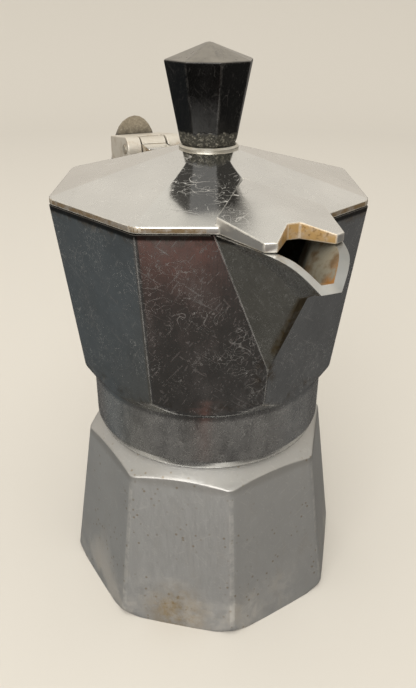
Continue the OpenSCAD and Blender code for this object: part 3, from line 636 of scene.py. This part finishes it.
def softened(points, times=2):
    """The line with its corners cut, that many times over."""
    for _ in range(times):
        cut = [points[0]]
        for a, b in zip(points, points[1:]):
            cut += [a.lerp(b, 0.25), a.lerp(b, 0.75)]
        points = cut + [points[-1]]
    return points


def wall_radius(angle, z):
    """Radius of the chamber's outer wall, in millimetres, in a direction given in degrees."""
    return octagon_radius(chamber_corner(z), 0, angle, CHAMBER_SOFT)


def on_wall(y, z):
    """The point of the chamber's outer wall beside the beak, at that distance from the middle and height."""
    x = 33.0
    for _ in range(4):
        x = math.sqrt(wall_radius(math.degrees(math.atan2(y, x)), z) ** 2 - y * y)
    return Vector((x, y, z))


def beak_column(share):
    """One line of points from the foot of the beak's flank, over its rim and down into the throat."""
    foot = BEAK_SIDE.lerp(BEAK_ROOT, share)
    seam = on_wall((BEAK_HALF + SEAM) * (1 - share), RIM_MM + (SEAM_TIP - RIM_MM) * share)
    crease, hollow, rim = along(BEAK_CREASE, share), along(BEAK_HOLLOW, share), along(BEAK_RIM, share)
    inner, inner_crease = along(THROAT_RIM, share), along(THROAT_CREASE, share)
    inner_foot = THROAT_SIDE.lerp(THROAT_ROOT, share)
    corner = [seam, foot, towards(foot, crease, SEAM)]
    outside = [foot.lerp(crease, 0.5), towards(crease, foot, 1.0), crease, towards(crease, hollow, 0.9),
               hollow, towards(rim, hollow, 0.5)]
    lip = [towards(rim, hollow, 0.5), rim, towards(rim, inner, 0.4)]
    lip_in = [towards(inner, rim, 0.25), inner, towards(inner, inner_crease, 0.3)]
    down = [towards(inner_crease, inner, 0.8), inner_crease, towards(inner_crease, inner_foot, 0.8), inner_foot]
    return softened(corner) + softened(outside, 1)[:-1] + softened(lip) + softened(lip_in, 1) + down


# bands of the beak's grid: the rounded crease, then the lip up to where the throat begins
CREASE_BANDS, LIP_FROM, THROAT_FROM = slice(4, 7), 23, 38


def beak_faces(mesh):
    """Adds the beak, and returns the worn faces, on its lip and its crease, and those of its throat."""
    half = [beak_column(s) for s in BEAK_SHARES]
    mirrored = [[Vector((p.x, -p.y, p.z)) for p in column] for column in half]
    columns = mirrored + half[::-1]
    rows = [[column[i] * MM for column in columns] for i in range(len(half[0]))]
    bands = grid(mesh, rows, closed=False)
    made = [f for band in bands for f in band]
    lip = [f for band in bands[LIP_FROM:THROAT_FROM] for f in band]
    throat = [f for band in bands[THROAT_FROM:] for f in band]
    bmesh.ops.dissolve_degenerate(mesh, dist=2e-6, edges=list({e for f in made for e in f.edges}))
    crease = [f for band in bands[CREASE_BANDS] for f in band]
    return [f for f in lip + crease if f.is_valid], [f for f in throat if f.is_valid]


def in_beak(p):
    """True for a point of the chamber's wall that the beak stands on."""
    return p.x > 0.027 and p.z / MM > SEAM_TIP and abs(p.y) / MM < SEAM_SLOPE * (p.z / MM - SEAM_TIP)


def chamber_shell(material):
    """The upper chamber: its outside wall, rim and beak are made here, and the rest is the frame's.

    The seams between the two are not joined.
    """
    mesh = solid_of("upper_chamber")
    gone = []
    for face in mesh.faces:
        c = face.calc_center_median()
        out = Vector((c.x, c.y, 0)).normalized()
        xs = [v.co.x for v in face.verts]
        on_ears = max(xs) < -0.0305 and max(abs(v.co.y) for v in face.verts) < 0.0079
        outside = face.normal.dot(out) > 0.1 and math.hypot(c.x, c.y) > 0.0275 and not on_ears
        on_rim = face.normal.z > 0.9 and c.z > (RIM_MM - 0.3) * MM and not on_ears
        of_beak = min(xs) > 0.0288
        if outside or on_rim or of_beak:
            gone.append(face)
    bmesh.ops.delete(mesh, geom=gone, context="FACES")
    ears = round_edges(mesh, 0.00035, math.radians(20), keep=lambda e: all(v.co.x < -0.0372 for v in e.verts))
    angles = round_angles(0)
    rows = []
    for limit, z in SKIRT_ROWS + CHAMFER_ROWS + WALL_ROWS:
        band = 0
        for (r0, z0), (r1, z1) in zip(BAND, BAND[1:]):
            if z0 <= z <= z1:
                band = r0 + (r1 - r0) * (z - z0) / (z1 - z0)
        row = []
        for a in angles:
            r = limit if z < SKIRT_TOP else smooth_least(wall_radius(a, z), limit, CHAMBER_TRIM_SOFT)
            row.append(round_point(max(r, band), a, z))
        rows.append(row)
    for drop, inset in RIM_STEPS:
        corner = RIM_R - inset / OCT
        rows.append([round_point(octagon_radius(corner, 0, a, CHAMBER_SOFT), a, RIM_MM - drop) for a in angles])
    wall = set(f for band in grid(mesh, rows) for f in band)
    for side in (1, -1):
        near = [f for f in wall
                if f.is_valid and f.calc_center_median().x > 0.025 and f.calc_center_median().z > 0.0655]
        parts = near + list({e for f in near for e in f.edges}) + list({v for f in near for v in f.verts})
        cut = bmesh.ops.bisect_plane(mesh, geom=parts, dist=1e-7, plane_co=Vector((0, 0, SEAM_TIP)) * MM,
                                     plane_no=Vector((0, side, -SEAM_SLOPE)))
        wall.update(g for g in cut["geom"] if isinstance(g, bmesh.types.BMFace))
    wall = [f for f in wall if f.is_valid]
    bmesh.ops.delete(mesh, geom=[f for f in wall if in_beak(f.calc_center_median())], context="FACES")
    lip, throat = beak_faces(mesh)
    for face in mesh.faces:
        face.tag = False
    for face in throat:
        face.tag = True
    inner = ("inside", lambda f, c: f.tag or (c.z > INSIDE_FLOOR_Z and c.x > -0.036 and looks_in(f, c)
                                              and math.hypot(c.x, c.y) < 0.0352))
    bracket = ("ears", lambda f, c: c.x < -0.030 and math.hypot(c.x, c.y) / MM
               > wall_radius(math.degrees(math.atan2(c.y, c.x)), c.z / MM) + 0.3)
    return piece_from(mesh, "chamber_shell", ["upper_chamber"], "chamber", material,
                      [inner, bracket], ears + lip, chamber_wear_and_highlight)


def at_rim_corner(edge):
    """True for an upright edge at a corner of the lid's rim, away from the hood."""
    a, b = (v.co for v in edge.verts)
    upright = math.hypot(a.x - b.x, a.y - b.y) < 1e-4
    return upright and math.hypot(a.x, a.y) > 0.0355 and a.x < 0.030


def lid_shell(material):
    """The lid, with its edges rounded.

    The rounding also distorts the hinge bore, so that the pin passes through its wall in places.
    """
    mesh = solid_of("lid")
    round_edges(mesh, 0.0012, math.radians(20), 3, at_rim_corner)
    worn = round_edges(mesh, 0.0003, math.radians(8), keep=lambda e: e.calc_length() > 0.00045)
    down = Vector((0, 0, -1))
    marks = [("under", facing(down, 0.3)),
             ("notch", lambda f, c: f.normal.x > 0.35 and abs(f.normal.z) < 0.8 and c.x > 0.0335
              and abs(c.y) < 0.0058),
             ("side", lambda f, c: abs(f.normal.z) < 0.3 and c.z < lid_box[LOW][2] + 0.0045)]
    rubbed = []
    for face in worn:
        if face.is_valid:
            c = face.calc_center_median()
            if c.z < lid_box[LOW][2] + 0.0028 or (c.x > 0.017 and abs(c.y) < 0.0125):
                rubbed.append(face)
    return piece_from(mesh, "lid_shell", ["lid"], "lid_body", material, marks, rubbed)


def knob_grip(material):
    mesh = solid_of("knob", 5e-5)
    worn = round_edges(mesh, 0.0003, math.radians(10))
    return piece_from(mesh, "knob_grip", ["knob"], "lid_body", material, (), worn)


def handle_grip(material):
    return piece_from(solid_of("handle"), "handle_grip", ["handle"], "chamber", material, curved=True)


def paint(node, material):
    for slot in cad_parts[node].material_slots:
        slot.material = material


def build_pot():
    """Links the five skins, and gives the other fifteen nodes their materials."""
    boiler = boiler_finish()
    chamber = chamber_finish()
    lid = lid_finish()
    crust_top = knob_box[LOW][2] + 0.0046
    black = bakelite_finish("bakelite_knob", 0.002, crust_top, crust_top - 0.0009, 0.70,
                            (0.29, 0.265, 0.225, 1), (0.026, 0.024, 0.016, 1))
    dome_top = handle_box[HIGH][2]
    grip = bakelite_finish("bakelite_handle", 0.006, dome_top - 0.0055, dome_top - 0.0005, 0.75,
                           (0.34, 0.29, 0.22, 1), (0.27, 0.23, 0.165, 1))
    boiler_shell(boiler)
    chamber_shell(chamber)
    lid_shell(lid)
    knob_grip(black)
    handle_grip(grip)
    bright = turned_finish("washer_bright", (0.70, 0.68, 0.62, 1), 0.34, 0.3, (0.5, 0.42, 0.28, 1))
    steel = turned_finish("steel_turned", (0.62, 0.61, 0.60, 1), 0.26, 0.35, (0.25, 0.17, 0.10, 1))
    brass = turned_finish("brass_dull", (0.72, 0.50, 0.22, 1), 0.34, 0.5, (0.30, 0.19, 0.08, 1))
    fibre = turned_finish("fibre_red", (0.24, 0.06, 0.035, 1), 0.72, 0.5, (0.10, 0.04, 0.03, 1), 0.0)
    rubber = turned_finish("rubber_seal", (0.62, 0.58, 0.50, 1), 0.62, 0.5, (0.36, 0.25, 0.13, 1), 0.0)
    basket = turned_finish("basket_spun", (0.76, 0.75, 0.73, 1), 0.30, 0.4, (0.36, 0.25, 0.13, 1))
    paint("knob_washer", bright)
    dull = turned_finish("hinge_steel_dull", (0.46, 0.43, 0.37, 1), 0.45, 0.5, (0.33, 0.25, 0.16, 1), 0.6)
    paint("hinge_pin", dull)
    for node in ("handle_pin", "knob_screw", "valve_stem", "valve_spring", "valve_seat"):
        paint(node, steel)
    for node in ("valve_body", "knob_insert"):
        paint(node, brass)
    paint("valve_washer", fibre)
    paint("gasket", rubber)
    for node in ("funnel", "funnel_screen", "filter_plate", "coffee_column"):
        paint(node, basket)


# ---------- floor, backdrop and light ----------
def ring_mesh(name, profile, steps=96):
    """A turned sheet from [radius, height] points."""
    mesh = bmesh.new()
    turns = [2 * math.pi * i / steps for i in range(steps)]
    rows = [[Vector((r * math.cos(a), r * math.sin(a), z)) for a in turns] for r, z in profile]
    for band in grid(mesh, rows):
        for face in band:
            face.smooth = True
    data = bpy.data.meshes.new(name)
    mesh.to_mesh(data)
    mesh.free()
    return data


def make_floor():
    """A pale floor that bends up into a wall; the wall is there for the camera only."""
    f = Finish("floor_pale", (0.60, 0.575, 0.53, 1), 0.7, 0.0)
    material = f.done()
    flat = ring_mesh("floor", [(0.0005, 0), (0.1, 0), (0.3, 0), (0.7, 0)])
    bend = [(0.7 + 0.5 * math.sin(a), 0.5 - 0.5 * math.cos(a)) for a in (math.pi / 48 * i for i in range(25))]
    wall = ring_mesh("backdrop", bend + [(1.2, 0.9), (1.2, 1.8)])
    for data in (flat, wall):
        data.materials.append(material)
        piece = bpy.data.objects.new(data.name, data)
        bpy.context.scene.collection.objects.link(piece)
        piece.visible_glossy = False
    piece.visible_diffuse = False
    piece.visible_shadow = False
    piece.visible_transmission = False


def direction(azimuth, elevation):
    a, e = math.radians(azimuth), math.radians(elevation)
    return Vector((math.cos(e) * math.cos(a), math.cos(e) * math.sin(a), math.sin(e)))


def make_light():
    """A pale room over a dark table, which only the polished metal sees, with some things standing on it."""
    world = bpy.data.worlds.new("room")
    bpy.context.scene.world = world
    world.use_nodes = True
    tree = world.node_tree
    back = tree.nodes["Background"]
    way = tree.nodes.new("ShaderNodeTexCoord").outputs["Generated"]
    split = tree.nodes.new("ShaderNodeSeparateXYZ")
    ramp = tree.nodes.new("ShaderNodeValToRGB")
    tree.links.new(way, split.inputs[0])
    level = tree.nodes.new("ShaderNodeMapRange")
    level.inputs[1].default_value = -1
    tree.links.new(split.outputs[2], level.inputs[0])
    tree.links.new(level.outputs[0], ramp.inputs[0])
    stops = ((0.0, (0.045, 0.042, 0.040)), (0.20, (0.050, 0.046, 0.043)), (0.26, (0.085, 0.080, 0.076)),
             (0.40, (0.115, 0.108, 0.098)), (0.48, (0.20, 0.185, 0.165)),
             (0.53, (0.62, 0.565, 0.49)), (0.72, (0.70, 0.65, 0.58)), (1.0, (0.78, 0.75, 0.68)))
    ramp.color_ramp.elements.remove(ramp.color_ramp.elements[1])
    for i, (at, colour) in enumerate(stops):
        stop = ramp.color_ramp.elements[0] if i == 0 else ramp.color_ramp.elements.new(at)
        stop.position = at
        stop.color = colour + (1,)
    colour = ramp.outputs[0]
    # azimuth, elevation, inner and outer radius in degrees, colour
    things = ((-128, -29, 9, 26, (0.078, 0.085, 0.087)), (-108, -52, 9, 24, (0.078, 0.073, 0.062)),
              (83, -34, 10, 26, (0.095, 0.092, 0.088)), (-28, -33, 10, 22, (0.046, 0.042, 0.038)),
              (-26, -28.0, 3, 7, (0.27, 0.13, 0.105)),
              (-70, -12, 3, 16, (0.24, 0.225, 0.20)), (30, -14, 3, 18, (0.22, 0.20, 0.18)))
    for azimuth, elevation, inner, outer, tone in things:
        near = tree.nodes.new("ShaderNodeVectorMath")
        near.operation = "DOT_PRODUCT"
        tree.links.new(way, near.inputs[0])
        near.inputs[1].default_value = direction(azimuth, elevation)
        fade = tree.nodes.new("ShaderNodeMapRange")
        fade.interpolation_type = "SMOOTHSTEP"
        fade.inputs[1].default_value = math.cos(math.radians(outer))
        fade.inputs[2].default_value = math.cos(math.radians(inner))
        tree.links.new(near.outputs["Value"], fade.inputs[0])
        mix = tree.nodes.new("ShaderNodeMix")
        mix.data_type = "RGBA"
        tree.links.new(fade.outputs[0], mix.inputs[0])
        tree.links.new(colour, mix.inputs[6])
        mix.inputs[7].default_value = tone + (1,)
        colour = mix.outputs[2]
    tree.links.new(colour, back.inputs[0])
    # the ceiling lamp lights the pot, and reflections leave it out
    ceiling = lamp("ceiling", (0.1, -0.1, 1.3), (0, 0, 0.05), 1.6, 9.6, (1.0, 0.97, 0.91))
    ceiling.visible_glossy = False
    lamp("window", (0.85, -0.62, 0.62), (0, 0, 0.04), 1.1, 11.0, (1.0, 0.98, 0.95))


def lamp(name, at, towards, size, watts, colour):
    data = bpy.data.lights.new(name, "AREA")
    data.size = size
    data.energy = watts
    data.color = colour
    light = bpy.data.objects.new(name, data)
    bpy.context.scene.collection.objects.link(light)
    aim = (Vector(towards) - Vector(at)).to_track_quat("-Z", "Y")
    light.matrix_world = Matrix.Translation(at) @ aim.to_matrix().to_4x4()
    return light


make_camera()
build_pot()
make_floor()
make_light()
bpy.context.scene.view_settings.view_transform = "Standard"
